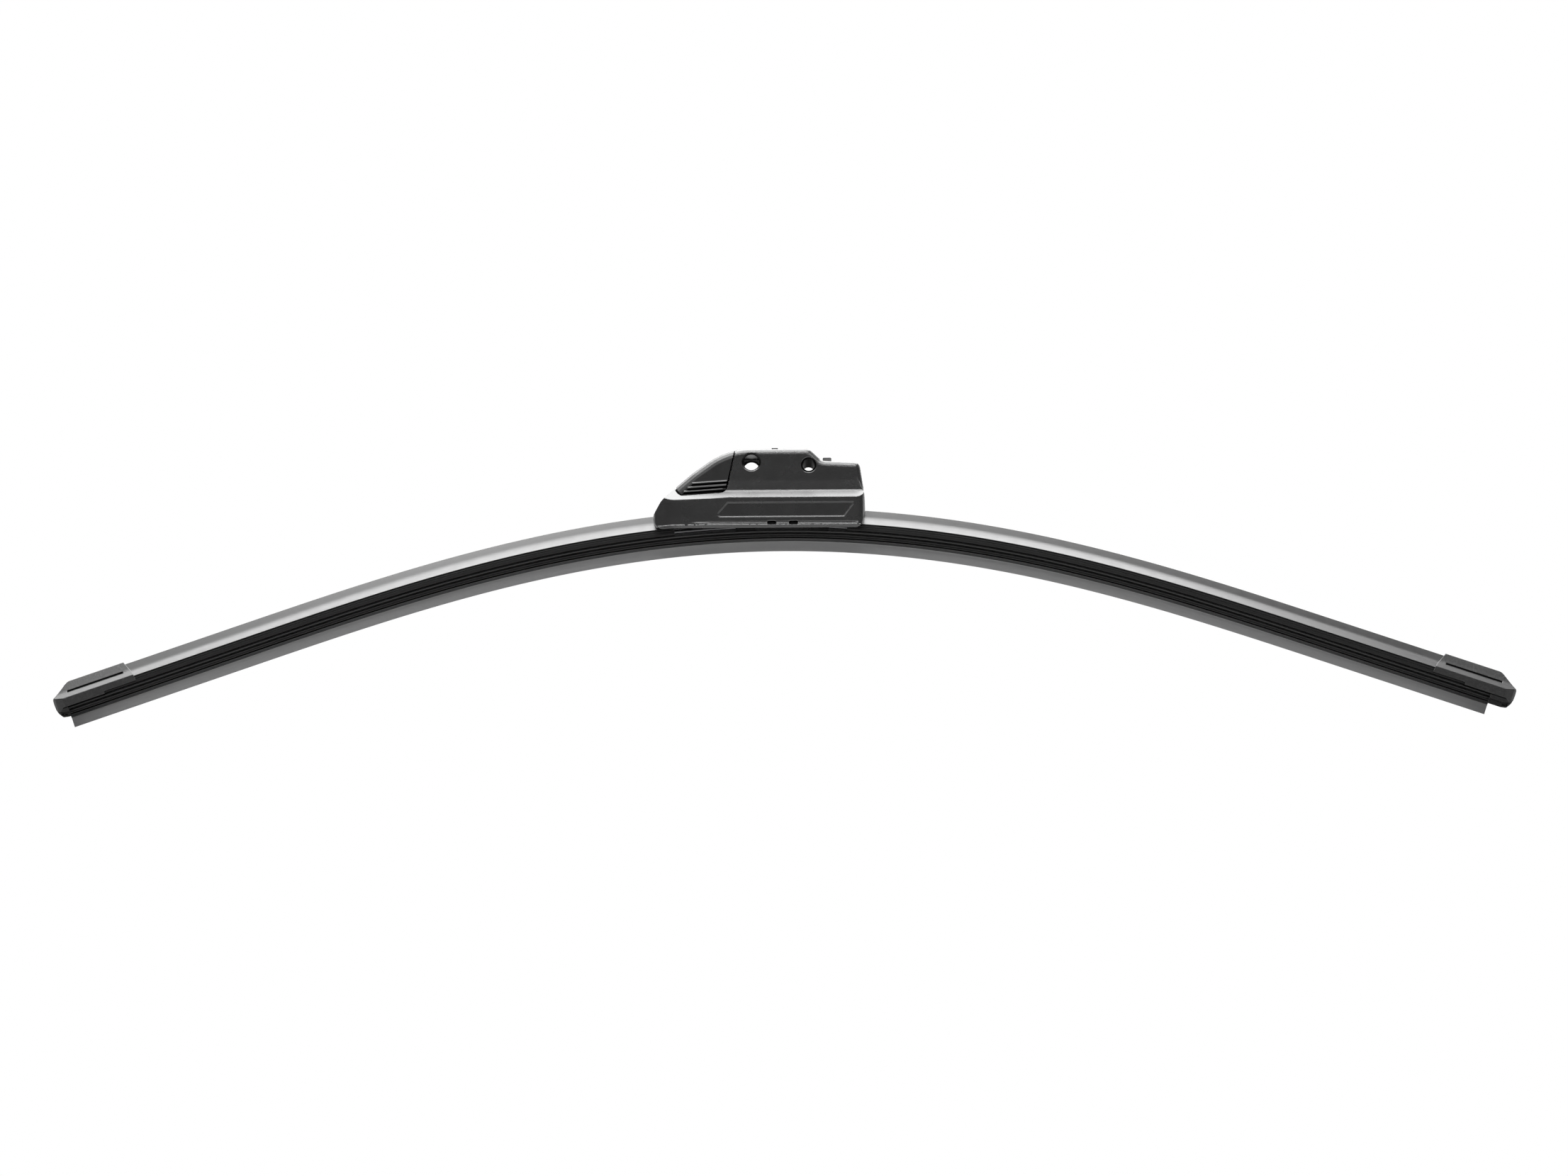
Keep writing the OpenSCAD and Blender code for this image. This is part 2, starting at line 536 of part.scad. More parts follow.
module pivot_tube() {
    reach = wall_y - 0.2;
    color([0.35, 0.35, 0.36]) in_place() difference() {
        cross_pin(tube_d, pivot_x, pivot_z, -reach, reach);
        cross_pin(tube_bore, pivot_x, pivot_z, -reach - 1, reach + 1);
    }
}

wiper_rubber();
rail_front();
rail_back();
spoiler_left();
spoiler_right();
end_cap_left();
end_cap_right();
base_bracket();
housing();
nose_cap();
hook_adapter();
pivot_tube();
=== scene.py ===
"""Flat wiper blade with a clip-on arm connector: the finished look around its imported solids."""

import math

import bmesh
import bpy
from bpy.props import FloatProperty, FloatVectorProperty, PointerProperty
from mathutils import Matrix, Vector


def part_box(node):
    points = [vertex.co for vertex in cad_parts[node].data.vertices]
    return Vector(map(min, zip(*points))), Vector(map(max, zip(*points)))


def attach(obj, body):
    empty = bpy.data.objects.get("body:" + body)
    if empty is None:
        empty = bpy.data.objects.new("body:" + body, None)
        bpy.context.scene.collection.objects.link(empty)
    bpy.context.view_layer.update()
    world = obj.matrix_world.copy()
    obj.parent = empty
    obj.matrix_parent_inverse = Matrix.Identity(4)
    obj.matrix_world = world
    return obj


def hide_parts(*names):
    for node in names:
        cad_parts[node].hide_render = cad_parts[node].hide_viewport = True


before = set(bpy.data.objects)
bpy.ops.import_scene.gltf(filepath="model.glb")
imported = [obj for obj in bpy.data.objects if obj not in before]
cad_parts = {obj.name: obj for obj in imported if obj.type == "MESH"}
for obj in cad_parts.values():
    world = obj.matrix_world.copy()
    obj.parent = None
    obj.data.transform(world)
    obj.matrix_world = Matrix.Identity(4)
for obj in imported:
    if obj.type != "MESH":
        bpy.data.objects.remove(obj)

bl_info = {
    "name": "Wiper Blade",
    "version": (1, 0, 0),
    "blender": (4, 5, 0),
    "location": "View3D > Sidebar > Wiper",
    "description": "Builds a flat wiper blade with its arm connector around the packed frame",
    "category": "Add Mesh",
}

MM = 0.001
WHITE = (1, 1, 1)

# These, down to the nose, are in millimetres, and places count from the middle of the lip's edge
# The pivot tube along the blade and up, where the part has its origin
PIVOT_X, PIVOT_Z = 10.25, 33.6
# The heights at which the lip ends and the claws end
LIP_TOP, CLAW_TOP = 4.0, 11
# The fins leave this stretch free for the connector, and end this far inside the rubber's ends
FIN_FREE_STRETCH = (-43, 25)
FIN_INSET = 1
# The housing's shelf: its level at the walls, and where and how steeply it drops to the nose
SHELF_LEVEL, SHELF_BEND_X, SHELF_DROP = 19.9, -22, math.radians(3.6)
# Where shelf and wall would meet without a fillet (out from the middle, over the shelf's level),
# and the ways that the two lead from there
SHELF_CORNER = (9.1, 3.1)
SHELF_WAY, WALL_WAY = (2.9, -3.1), (-0.4, 5.9)
SOLID_FILLET, MOULD_FILLET = 6, 1.5
# The nose ahead of the cap: where it starts, the length that it fades in over, its half width at
# the shelf's level and how much it narrows with each millimetre up
NOSE_X, NOSE_FADE, NOSE_WIDTH, NOSE_TAPER = -41, 1.5, 12, 0.9355

# These are places of the materials, in metres and in the part's frame
# A name that ends in OUT is a distance out from the middle, to either side
# The large side pin hole: its centre along and up, its radius and its ring's, the level above
# which the ring lies in shade, and the wall's outer face
PIN_HOLE = (-0.02305, 0.0013)
PIN_HOLE_RADIUS, PIN_RING_RADIUS = 0.00325, 0.0039
PIN_RING_SHADE_Z = -0.0005
WALL_OUT = 0.0087
# The gap between the nose cap and the housing: x at the origin's level, its lean, its foot and
# its two sides
SEAM_X, SEAM_SLOPE, SEAM_FOOT_Z = -0.0307, 0.2235, -0.0085
SEAM_SIDES = (-0.0006, 0.00016)
SEAM_OUT = 0.006
# Levels of the ragged line and of the groove along the hem, and the groove's run and floor
HEM_LINE = (-0.0253, -0.02485)
HEM_GROOVE = (-0.02495, -0.0234)
HEM_GROOVE_RUN = (-0.04, 0.0188)
HEM_GROOVE_OUT = 0.01185
# The long recess of the housing's sides: its levels, and how far out its floor may lie
RECESS_LEVELS = (-0.0217, -0.0156)
RECESS_OUT = (0.0105, 0.01178)
# The nose cap's grip ribs: levels of their tops at the origin, their rise along the blade, the
# shade below each, the slanted line that they start from and where they stand out of the side
RIB_LEVELS = (-0.00436, -0.00604, -0.00753)
RIB_SLOPE = 0.0665
RIB_SHADE = (-0.00105, -0.0002)
RIB_START = 0.0391
RIB_OUT = 0.0083


def colour(name, description, default):
    return FloatVectorProperty(
        name=name, description=description, subtype="COLOR", size=3, min=0, max=1, default=default
    )


def length(name, description, default):
    return FloatProperty(name=name, description=description, unit="LENGTH", default=default, min=0)


class BladeShape(bpy.types.PropertyGroup):
    """Sizes of the curved extrusions."""

    blade_length: length("Blade length", "Length over both end caps, along the curve", 0.598)
    tip_slope: FloatProperty(
        name="Tip slope", description="Slope of the free blade at its tips", subtype="ANGLE",
        default=math.radians(18.9), min=0, max=0.6,
    )
    bend_length: length("Bend length", "Half length that curves; the rest is straight", 0.219)
    station_gap: length("Station gap", "Distance between the sections of an extrusion", 0.006)
    fin_top: length("Fin top", "Height of the fin's crest above the lip's edge", 0.01765)
    fin_shift: length("Fin shift", "Offset of the fin towards the back", 0.0007)
    left_gap: length("Left gap", "From the left tip to the end of the rubber", 0.0048)
    right_gap: length("Right gap", "From the right tip to the end of the rubber", 0.0093)


class MouldedShape(bpy.types.PropertyGroup):
    """How finely the moulded plastic pieces are resolved."""

    housing_grid: length("Housing grid", "Grid that the housing is remeshed at", 0.00017)
    cap_grid: length("Cap grid", "Grid that the end caps and the nose cap are remeshed at", 0.00013)


class FinishColours(bpy.types.PropertyGroup):
    """Colours of the finishes."""

    lip: colour("Lip", "Graphite-coated wiping lip", (0.29, 0.29, 0.292))
    rubber: colour("Rubber", "Body of the wiping rubber", (0.009, 0.009, 0.009))
    spoiler: colour("Spoiler", "Extruded wind fin", (0.006, 0.006, 0.006))
    steel: colour("Steel", "Spring steel rails", (0.3, 0.3, 0.31))
    housing: colour("Housing", "Spark-grained plastic of the housing", (0.008, 0.008, 0.008))
    nose: colour("Nose cap", "Smooth plastic of the hinged nose cap", (0.006, 0.006, 0.006))
    end_cap: colour("End caps", "Fine-grained plastic of the end caps", (0.01, 0.01, 0.01))
    adapter: colour("Adapter", "Moulded plastic of the hook adapter", (0.16, 0.16, 0.16))
    bracket: colour("Bracket", "Moulded plastic of the bracket", (0.008, 0.008, 0.008))
    tube: colour("Tube", "Blackened steel of the pivot tube", (0.02, 0.02, 0.02))
    floor: colour("Floor", "Pale studio floor", (0.36, 0.36, 0.36))


class StudioSetup(bpy.types.PropertyGroup):
    """Camera and lights."""

    camera_distance: length("Camera distance", "From the aim point to the camera", 2.5)
    camera_elevation: FloatProperty(
        name="Camera elevation", description="Angle of the camera above the horizontal",
        subtype="ANGLE", default=math.radians(-10.5), min=-1.5, max=1.5,
    )
    camera_roll: FloatProperty(
        name="Camera roll", description="Turn of the camera about its view", subtype="ANGLE",
        default=math.radians(0.38), min=-0.2, max=0.2,
    )
    front_light: FloatProperty(name="Front light", description="Power of the front softbox",
                               unit="POWER", default=7, min=0)
    top_light: FloatProperty(name="Top light", description="Power of the overhead softbox",
                             unit="POWER", default=23, min=0)
    back_light: FloatProperty(name="Back light", description="Power of the panel behind",
                              unit="POWER", default=3, min=0)
    fill_light: FloatProperty(name="Fill light", description="Power of the softbox at the left",
                              unit="POWER", default=2, min=0)
    side_light: FloatProperty(name="Side lights", description="Power of each panel at the sides",
                              unit="POWER", default=1, min=0)


class Signal:
    """A socket of a node tree, so that shader maths reads as a Python expression."""

    def __init__(self, wiring, socket):
        self.wiring = wiring
        self.socket = socket

    def _math(self, operation, *terms):
        return self.wiring.add("ShaderNodeMath", {"operation": operation}, dict(enumerate(terms)))

    def __add__(self, other):
        return self._math("ADD", self, other)

    def __radd__(self, other):
        return self._math("ADD", other, self)

    def __sub__(self, other):
        return self._math("SUBTRACT", self, other)

    def __rsub__(self, other):
        return self._math("SUBTRACT", other, self)

    def __mul__(self, other):
        return self._math("MULTIPLY", self, other)

    def __rmul__(self, other):
        return self._math("MULTIPLY", other, self)

    def __abs__(self):
        return self._math("ABSOLUTE", self)

    def root(self):
        return self._math("SQRT", self)

    def __or__(self, other):
        """The larger of two masks."""
        return self._math("MAXIMUM", self, other)

    def __ror__(self, other):
        return self._math("MAXIMUM", other, self)

    def above(self, edge, softness):
        """1 where the value is above the edge, 0 below it, over a soft step."""
        return self.wiring.add(
            "ShaderNodeMapRange", {"interpolation_type": "SMOOTHSTEP"},
            {"Value": self, "From Min": edge - softness / 2, "From Max": edge + softness / 2},
        )

    def below(self, edge, softness):
        return 1 - self.above(edge, softness)

    def within(self, low, high, softness, softness_high=None):
        """1 between two edges and 0 outside them, over soft steps."""
        return self.above(low, softness) * self.below(high, softness_high or softness)


class Wiring:
    """The node tree of a material or of the world."""

    def __init__(self, tree):
        self.tree = tree
        self.nodes = tree.nodes

    def add(self, kind, settings=None, inputs=None, output=0):
        """Adds one node: its settings first, then the values or links of its sockets."""
        node = self.nodes.new(kind)
        for key, value in (settings or {}).items():
            setattr(node, key, value)
        for key, value in (inputs or {}).items():
            self.feed(node.inputs[key], value)
        return Signal(self, node.outputs[output])

    def feed(self, socket, value):
        if isinstance(value, Signal):
            self.tree.links.new(value.socket, socket)
        elif socket.type == "RGBA" and len(value) == 3:
            socket.default_value = (*value, 1)
        else:
            socket.default_value = value


class Finish(Wiring):
    """A material under construction on a Principled shader."""

    def __init__(self, name, **settings):
        self.material = bpy.data.materials.new(name)
        self.material.use_nodes = True
        super().__init__(self.material.node_tree)
        self.shader = self.nodes["Principled BSDF"]
        for socket, value in settings.items():
            self.shade(socket.replace("_", " "), value)

    def shade(self, socket, value):
        self.feed(self.shader.inputs[socket], value)

    def place(self):
        return self.add("ShaderNodeTexCoord", output="Object")

    def axes(self, vector=None):
        """The x, y and z of a vector, or else of the place on the part, in metres."""
        split = self.add("ShaderNodeSeparateXYZ", None, {"Vector": vector or self.place()})
        return [Signal(self, out) for out in split.socket.node.outputs]

    def noise(self, size, detail=2.0, roughness=0.5):
        """Noise from 0 to 1 with features of a size in metres."""
        return self.add("ShaderNodeTexNoise", None, {
            "Vector": self.place(), "Scale": 1 / size, "Detail": detail, "Roughness": roughness,
        })

    def blend(self, share, from_colour, to_colour):
        return self.add("ShaderNodeMix", {"data_type": "RGBA"},
                        {0: share, 6: from_colour, 7: to_colour}, output=2)

    def near_axis(self, x, z, centre, radius):
        """1 within a radius of an axis that runs across the blade."""
        along, up = x - centre[0], z - centre[1]
        return (along * along + up * up).root().below(radius, 0.0001)

    def seam(self, x, y, z):
        """The slanted gap between the nose cap and the housing, above the shelf, where shade is
        painted.
        """
        off = x - z * SEAM_SLOPE - SEAM_X
        gap = off.within(*SEAM_SIDES, 0.0001) * z.above(SEAM_FOOT_Z, 0.0002)
        return gap * abs(y).above(SEAM_OUT, 0.0002)

    def blacken(self, share):
        """Mixes in black, for the deep places that no light reaches."""
        black = self.add("ShaderNodeBsdfDiffuse", None, {"Color": (0, 0, 0)})
        mixed = self.add("ShaderNodeMixShader", None, {
            0: share, 1: Signal(self, self.shader.outputs[0]), 2: black,
        })
        self.feed(self.nodes["Material Output"].inputs["Surface"], mixed)

    def relief(self, height, depth):
        bump = self.add("ShaderNodeBump", None, {"Height": height, "Distance": depth})
        self.shade("Normal", bump)


def brighter(rgb, factor):
    return tuple(min(c * factor, 1) for c in rgb)


class GrainedPlastic(Finish):
    """Spark-eroded plastic: sharp grain on the walls, wiped smoother where a face looks up."""

    def __init__(self, name, rgb, size, depth, rough, index):
        super().__init__(name, IOR=index, Specular_IOR_Level=1.0)
        self.depth = depth
        coarse = self.noise(size, roughness=0.6)
        peaks = coarse.above(0.58, 0.25)
        patches = self.noise(0.009)
        self.up = self.axes(self.add("ShaderNodeNewGeometry", output="Normal"))[2]
        self.height = (coarse * 0.4 + peaks * 0.6) * (self.up.below(0.45, 0.5) * 0.9 + 0.1)
        self.tone = self.blend(peaks * 0.7 + patches * 0.3, brighter(rgb, 0.5), brighter(rgb, 1.9))
        self.shade("Roughness", rough + (patches - 0.5) * 0.08)

    def finished(self):
        """The material, with what became of its tone and height."""
        self.shade("Base Color", self.tone)
        self.relief(self.height, self.depth)
        return self.material


def end_cap_plastic(rgb):
    """Grained plastic of the end caps, with painted shade where a face looks down."""
    plastic = GrainedPlastic("end_cap_plastic", rgb, size=0.0008, depth=0.00005, rough=0.4,
                             index=1.55)
    # Painted shade: faces that look down are mixed towards black
    plastic.blacken(plastic.up.below(-0.55, 0.3) * 0.85)
    return plastic.finished()


def housing_plastic(rgb):
    """Grained plastic of the housing, with a smoother recess, a ragged hem and painted shade in its
    deep places.
    """
    plastic = GrainedPlastic("housing_plastic", rgb, size=0.0006, depth=0.00002, rough=0.27,
                             index=1.8)
    x, y, z = plastic.axes()
    out = abs(y)
    ragged = plastic.noise(0.0012).above(0.42, 0.3) * 8
    plastic.height = plastic.height + z.within(*HEM_LINE, 0.0005, 0.0003) * ragged
    recess = out.within(*RECESS_OUT, 0.0002, 0.00008) * z.within(*RECESS_LEVELS, 0.0002)
    plastic.height = plastic.height * (1 - recess * 0.8)
    plastic.tone = plastic.blend(recess, plastic.tone, brighter(rgb, 0.5))
    # Painted shade in the groove along the hem
    groove = (z.within(*HEM_GROOVE, 0.0001) * x.within(*HEM_GROOVE_RUN, 0.0004)
              * out.below(HEM_GROOVE_OUT, 0.0001))
    # Painted shade inside the pin hole and over the upper part of its ring
    hole = plastic.near_axis(x, z, PIN_HOLE, PIN_HOLE_RADIUS) * out.below(WALL_OUT, 0.0002)
    ring = plastic.near_axis(x, z, PIN_HOLE, PIN_RING_RADIUS)
    shade = ring * z.above(PIN_RING_SHADE_Z, 0.002)
    # These masks and the seam are mixed towards black as painted shade
    plastic.blacken(groove | hole * 0.8 | shade * 0.75 | plastic.seam(x, y, z))
    return plastic.finished()


def smooth_plastic(name, rgb, rough=0.34, gloss=1.0):
    """Polished mould face with a slight orange peel and handling haze."""
    finish = Finish(name, IOR=1.6, Specular_IOR_Level=gloss)
    haze = finish.noise(0.006, detail=3, roughness=0.6)
    finish.shade("Base Color", finish.blend(haze, brighter(rgb, 0.8), brighter(rgb, 1.3)))
    finish.shade("Roughness", rough + (haze - 0.5) * 0.16)
    finish.relief(finish.noise(0.0006, detail=1), 0.00001)
    return finish


def nose_cap_plastic(rgb):
    """Smooth plastic of the nose cap, with painted shade below its grip ribs and in its seam."""
    finish = smooth_plastic("nose_cap_plastic", rgb)
    x, y, z = finish.axes()
    # Painted shade: a black band below each grip rib, and in the seam
    level = z - x * RIB_SLOPE
    first, second, third = (
        level.within(*(top + edge for edge in RIB_SHADE), 0.0002) for top in RIB_LEVELS
    )
    behind_start = (x - z + RIB_START).above(0, 0.0004)
    under = (first | second | third) * abs(y).above(RIB_OUT, 0.0002) * behind_start
    finish.blacken(under | finish.seam(x, y, z))
    return finish.material


def streaked(finish, along, across):
    """Noise in streaks along an extrusion, with their sizes along and across it in metres."""
    run = finish.add("ShaderNodeUVMap", {"uv_map": "run"})
    stretched = finish.add("ShaderNodeVectorMath", {"operation": "MULTIPLY"},
                           {0: run, 1: (1 / along, 1 / across, 1)})
    return finish.add("ShaderNodeTexNoise", None, {
        "Vector": stretched, "Scale": 1.0, "Detail": 2.0, "Roughness": 0.55,
    })


def extruded_rubber(name, rgb, rough, speckle=0.0, streak_width=0.0006, index=1.6):
    """Extruded rubber: drawn-out die lines, a dusty bloom and, where wanted, bright specks."""
    finish = Finish(name, IOR=index, Specular_IOR_Level=1.0)
    lines = streaked(finish, 0.08, streak_width)
    bloom = finish.noise(0.004, detail=4, roughness=0.62)
    dust = finish.noise(0.0003)
    tone = finish.blend(bloom * 0.4 + lines * 0.6, brighter(rgb, 0.78), brighter(rgb, 1.22))
    if speckle:
        tone = finish.blend(dust.above(0.66, 0.06) * speckle, tone, brighter(rgb, 3.2))
    finish.shade("Base Color", tone)
    finish.shade("Roughness", rough + (bloom - 0.5) * 0.14 + (lines - 0.5) * 0.08)
    finish.relief(lines * 0.9 + dust * 0.1, 0.000006)
    return finish.material


def rolled_steel(name, rgb, rough=0.34):
    """Spring steel with rolling marks along it and faint spots of oil."""
    finish = Finish(name, Metallic=1.0, Specular_Tint=(0.25, 0.25, 0.25, 1))
    marks = finish.noise(0.0002)
    oil = finish.noise(0.005, detail=3)
    finish.shade("Base Color", finish.blend(oil, brighter(rgb, 0.7), brighter(rgb, 1.25)))
    finish.shade("Roughness", rough + (marks - 0.5) * 0.18 + (oil - 0.5) * 0.12)
    finish.relief(marks, 0.000008)
    return finish.material


def rounded(corners, steps):
    """An outline whose corners (x, y, radius) are rounded by arcs."""
    points = []
    count = len(corners)
    for i, (x, y, radius) in enumerate(corners):
        here = Vector((x, y))
        if not radius:
            points.append((x, y))
            continue
        u = (Vector(corners[i - 1][:2]) - here).normalized()
        v = (Vector(corners[(i + 1) % count][:2]) - here).normalized()
        half = u.angle(v) / 2
        centre = here + (u + v).normalized() * radius / math.sin(half)
        side = (v - u).normalized()
        for k in range(steps + 1):
            turn = (math.pi / 2 - half) * (2 * k / steps - 1)
            out = (u + v).normalized() * math.cos(turn) - side * math.sin(turn)
            points.append(tuple(centre - out * radius))
    return points


class Beam:
    """The free blade's curve, by the length from its middle, in millimetres."""

    def __init__(self, shape):
        self.half = shape.blade_length / MM / 2
        self.slope = shape.tip_slope
        self.bend = shape.bend_length / MM
        self.gap = shape.station_gap / MM
        self.rubber_start = -self.half + shape.left_gap / MM
        self.rubber_end = self.half - shape.right_gap / MM

    def tilt(self, s):
        """The slope at s, which grows over the bend and stays the same on the straight tips."""
        share = min(abs(s) / self.bend, 1)
        return self.slope * math.sin(math.pi / 2 * share) * (1 if s > 0 else -1)

    def path(self, s):
        """The place along and up that lies s along the curve, as the sum of short steps."""
        steps = 24
        slopes = [self.tilt(s * (i + 0.5) / steps) for i in range(steps)]
        return (s / steps * sum(math.cos(a) for a in slopes),
                -s / steps * sum(math.sin(a) for a in slopes))

    def point(self, s, across, height):
        """A point of the section at s, in the part's frame and in metres."""
        x, z = self.path(s)
        a = self.tilt(s)
        return Vector((x + height * math.sin(a) - PIVOT_X, across,
                       z + height * math.cos(a) - PIVOT_Z)) * MM

    def stations(self, from_s, to_s):
        """Evenly spaced lengths along the curve, about one gap apart."""
        count = max(1, round((to_s - from_s) / self.gap))
        return [from_s + (to_s - from_s) * i / count for i in range(count + 1)]


def new_piece(name, mesh, slots, sharp=32):
    """Links a mesh as a piece, smooth but for its sharp edges."""
    for material in slots:
        mesh.materials.append(material)
    for face in mesh.polygons:
        face.use_smooth = True
    mesh.set_sharp_from_angle(angle=math.radians(sharp))
    piece = bpy.data.objects.new(name, mesh)
    bpy.context.scene.collection.objects.link(piece)
    return piece


def swept(name, beam, section, from_s, to_s, slots, slot_of=None):
    """A section (across, height) drawn along the blade's curve, with its run in a UV map."""
    built = bmesh.new()
    run = built.loops.layers.uv.new("run")
    stations = beam.stations(from_s, to_s)
    rings = [[built.verts.new(beam.point(s, *q)) for q in section] for s in stations]
    girth = [0.0]
    for q, p in zip(section, section[1:] + section[:1]):
        girth.append(girth[-1] + math.dist(p, q))
    count = len(section)
    for i in range(len(stations) - 1):
        for j in range(count):
            k = (j + 1) % count
            face = built.faces.new((rings[i][j], rings[i + 1][j], rings[i + 1][k], rings[i][k]))
            ends = ((i, j), (i + 1, j), (i + 1, j + 1), (i, j + 1))
            for loop, (a, b) in zip(face.loops, ends):
                loop[run].uv = (stations[a] * MM, girth[b] * MM)
            if slot_of:
                face.material_index = slot_of((section[j][1] + section[k][1]) / 2)
    built.faces.new(rings[0])
    built.faces.new(list(reversed(rings[-1])))
    bmesh.ops.recalc_face_normals(built, faces=built.faces)
    mesh = bpy.data.meshes.new(name)
    built.to_mesh(mesh)
    built.free()
    return new_piece(name, mesh, slots)


def mirrored(half):
    """A closed outline from its right half, listed from the bottom up."""
    return half + [(-x, z, r) for x, z, r in reversed(half)]


def over_shelf(place):
    """A point's place along the blade, out from its middle and above the shelf, in millimetres."""
    x, z = place.x / MM + PIVOT_X, place.z / MM + PIVOT_Z
    level = SHELF_LEVEL + min(x - SHELF_BEND_X, 0) * math.tan(SHELF_DROP)
    return x, abs(place.y) / MM, z - level


def tighten_shelf(place):
    """Draws a point of the wide fillet at the foot of a wall in to the mould's tight one."""
    _, out, rise = over_shelf(place)
    down, up = Vector(SHELF_WAY).normalized(), Vector(WALL_WAY).normalized()
    half = down.angle(up) / 2
    outward = (down + up).normalized()
    centre = Vector(SHELF_CORNER) + outward * SOLID_FILLET / math.sin(half)
    ray = Vector((out, rise)) - centre
    if not SOLID_FILLET - 0.2 <= ray.length <= SOLID_FILLET + 0.5:
        return
    off = ray.angle(-outward)
    side = math.pi / 2 - half - off
    if side < 0:
        return
    reach = SOLID_FILLET / math.cos(side)
    smaller = SOLID_FILLET - MOULD_FILLET
    if side > math.atan(smaller / math.tan(half) / SOLID_FILLET):
        apart = smaller / math.sin(half)
        reach = apart * math.cos(off) + math.sqrt(MOULD_FILLET ** 2 - (apart * math.sin(off)) ** 2)
    if ray.length < reach:
        moved = centre + ray.normalized() * reach
        place.y = math.copysign(moved.x * MM, place.y)
        place.z += (moved.y - rise) * MM


def slope_nose(place):
    """Draws a point of the nose ahead of the cap in to a slope like the shelf's."""
    x, out, rise = over_shelf(place)
    limit = NOSE_WIDTH - NOSE_TAPER * rise
    if x < NOSE_X and rise > 0 and out > limit:
        out += (limit - out) * min((NOSE_X - x) / NOSE_FADE, 1)
        place.y = math.copysign(out * MM, place.y)


def ease_housing(place):
    tighten_shelf(place)
    slope_nose(place)


def softened(name, node, grid, slots, passes, keep, reshape=None):
    """A solid's copy, remeshed finely, with its corners eased as the mould leaves them.

    More passes ease more, keep is the share of the faces that stays, and reshape moves a point.
    """
    rough = bpy.data.objects.new(name + "_rough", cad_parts[node].data.copy())
    bpy.context.scene.collection.objects.link(rough)
    remesh = rough.modifiers.new("Fine grid", "REMESH")
    remesh.mode = "VOXEL"
    remesh.voxel_size = grid
    ease = rough.modifiers.new("Eased corners", "SMOOTH")
    ease.factor = 0.5
    ease.iterations = passes
    rough.modifiers.new("Fewer faces", "DECIMATE").ratio = keep
    depsgraph = bpy.context.evaluated_depsgraph_get()
    mesh = bpy.data.meshes.new_from_object(rough.evaluated_get(depsgraph))
    bpy.data.objects.remove(rough)
    mesh.name = name
    mesh.materials.clear()
    if reshape:
        for vertex in mesh.vertices:
            reshape(vertex.co)
    return new_piece(name, mesh, slots, sharp=180)


def settle(piece, body, node):
    """The piece rides on its body and stands for its solid, which is hidden."""
    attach(piece, body)
    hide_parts(node)


def repaint(node, material):
    """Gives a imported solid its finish."""
    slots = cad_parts[node].data.materials
    slots.clear()
    slots.append(material)


class WIPER_OT_rubber(bpy.types.Operator):
    """Wiping rubber: lip, heel, hinge web, stop and body, drawn along the blade"""

    bl_idname = "wiper.rubber"
    bl_label = "Wiping Rubber"

    def execute(self, context):
        paint = context.scene.wiper_colours
        section = rounded(mirrored([
            (0.28, 0, 0.06), (0.34, 3.9, 0.3), (2.3, 4.6, 0.06), (2.45, 4.75, 0.08),
            (2.25, 5.0, 0.06), (0.55, 5.1, 0.05), (0.55, 5.25, 0.05), (2.8, 5.35, 0.05),
            (2.8, 5.7, 0.1), (0.95, 6.0, 0.2), (0.95, 6.95, 0.3), (4.0, 7.15, 0.08),
            (4.1, 7.3, 0.06), (4.1, 7.85, 0.12), (3.4, 8.0, 0.06), (3.4, 8.85, 0.05),
            (1.2, 8.85, 0.05), (1.2, 9.85, 0.05), (2.6, 9.85, 0.05), (2.3, 11.15, 0.15),
        ]), 3)
        beam = Beam(context.scene.wiper_blade)
        lip = extruded_rubber("lip_rubber", paint.lip, rough=0.55, streak_width=0.0016)
        body = extruded_rubber("body_rubber", paint.rubber, rough=0.42, speckle=0.35)
        piece = swept("wiping_rubber", beam, section, beam.rubber_start, beam.rubber_end,
                      [lip, body], lambda height: int(height > LIP_TOP))
        settle(piece, "blade", "wiper_rubber")
        return {"FINISHED"}


class WIPER_OT_rails(bpy.types.Operator):
    """Pair of spring-steel rails in the rubber's grooves"""

    bl_idname = "wiper.rails"
    bl_label = "Rails"

    def execute(self, context):
        paint = context.scene.wiper_colours
        beam = Beam(context.scene.wiper_blade)
        steel = rolled_steel("rail_steel", paint.steel)
        inner, outer, low, high, edge = 1.25, 4.95, 8.9, 9.8, 0.2
        for node, side in (("rail_front", -1), ("rail_back", 1)):
            section = rounded([(side * inner, low, 0), (side * outer, low, edge),
                               (side * outer, high, edge), (side * inner, high, 0)], 4)
            piece = swept(node + "_strip", beam, section, beam.rubber_start, beam.rubber_end,
                          [steel])
            settle(piece, "blade", node)
        return {"FINISHED"}


def fin_section(shape):
    """The outline of a fin: its claws, the channel between them and its concave flanks."""
    top, shift = shape.fin_top / MM, shape.fin_shift / MM
    right = [(6, 8.1, 0.25), (6, 9.3, 0.08), (5.75, 9.45, 0.08), (6, 9.65, 0.08),
             (6, 10.05, 0.12), (5.6, 10.3, 0.06), (5.6, 10.5, 0.06), (6.05, 10.8, 0.12),
             (5.3, 11.35, 0.7)]
    flank = [(2.4, 14.0, 6), (0.5, top, 0.3)]
    channel = [(3.9, 8.2, 0.08), (3.9, 8.85, 0.04), (5.0, 8.85, 0.04), (5.0, 9.85, 0.04),
               (2.75, 9.85, 0.04), (2.75, 11.3, 0.04)]
    outline = right + [(shift + x, z, r) for x, z, r in flank]
    outline += [(shift - x, z, r) for x, z, r in reversed(flank)]
    outline += [(-x, z, r) for x, z, r in reversed(right)]
    outline += [(-x, z, r) for x, z, r in channel]
    outline += [(x, z, r) for x, z, r in reversed(channel)]
    return rounded(outline, 5)


